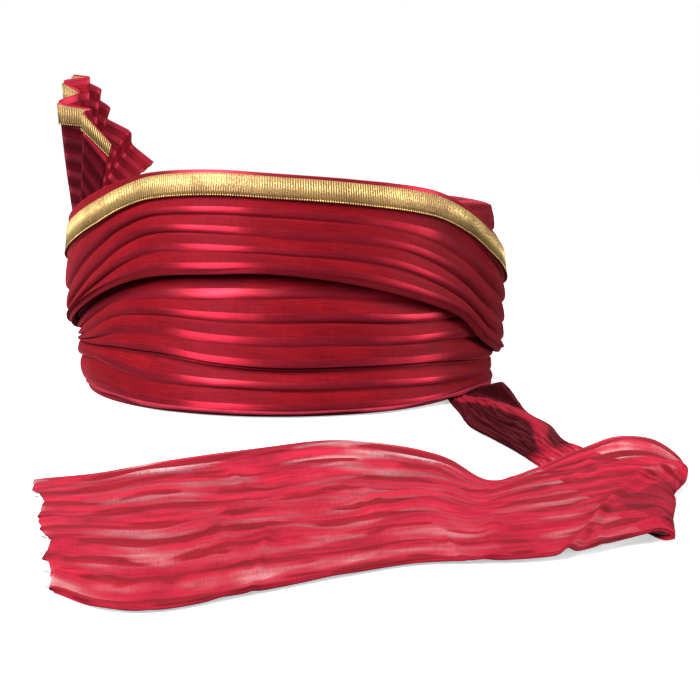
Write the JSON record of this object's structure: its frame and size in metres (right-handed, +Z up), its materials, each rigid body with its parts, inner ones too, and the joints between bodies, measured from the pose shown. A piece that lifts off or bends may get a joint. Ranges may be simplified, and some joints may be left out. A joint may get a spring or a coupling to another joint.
{
  "type": "tied turban pagri",
  "caption": "Ready-tied satin-stripe turban with overlapping pleated wraps, gold lace, a pleated side fan and a loose folded tail.",
  "frame": {"origin": "middle of the head opening, on the surface that the turban rests on", "axes": "+Z up out of the crown, -Y towards the front with the lace, -X towards the side with the fan"},
  "size_m": [0.3053, 0.4724, 0.1715],
  "materials": {
    "wound_cloth": "satin-striped sheer cloth in layers",
    "crown_cloth": "plain cloth",
    "loose_cloth": "single sheer satin-striped cloth",
    "gold_lace": "metallic woven ribbon"
  },
  "bodies": {
    "root": {"crown_cap": "crown_cloth", "base_wrap": "wound_cloth", "middle_wrap": "wound_cloth", "front_wrap": "wound_cloth", "front_lace": "gold_lace", "side_fan": "wound_cloth", "fan_lace": "gold_lace", "tail": "loose_cloth"}
  },
  "joints": []
}
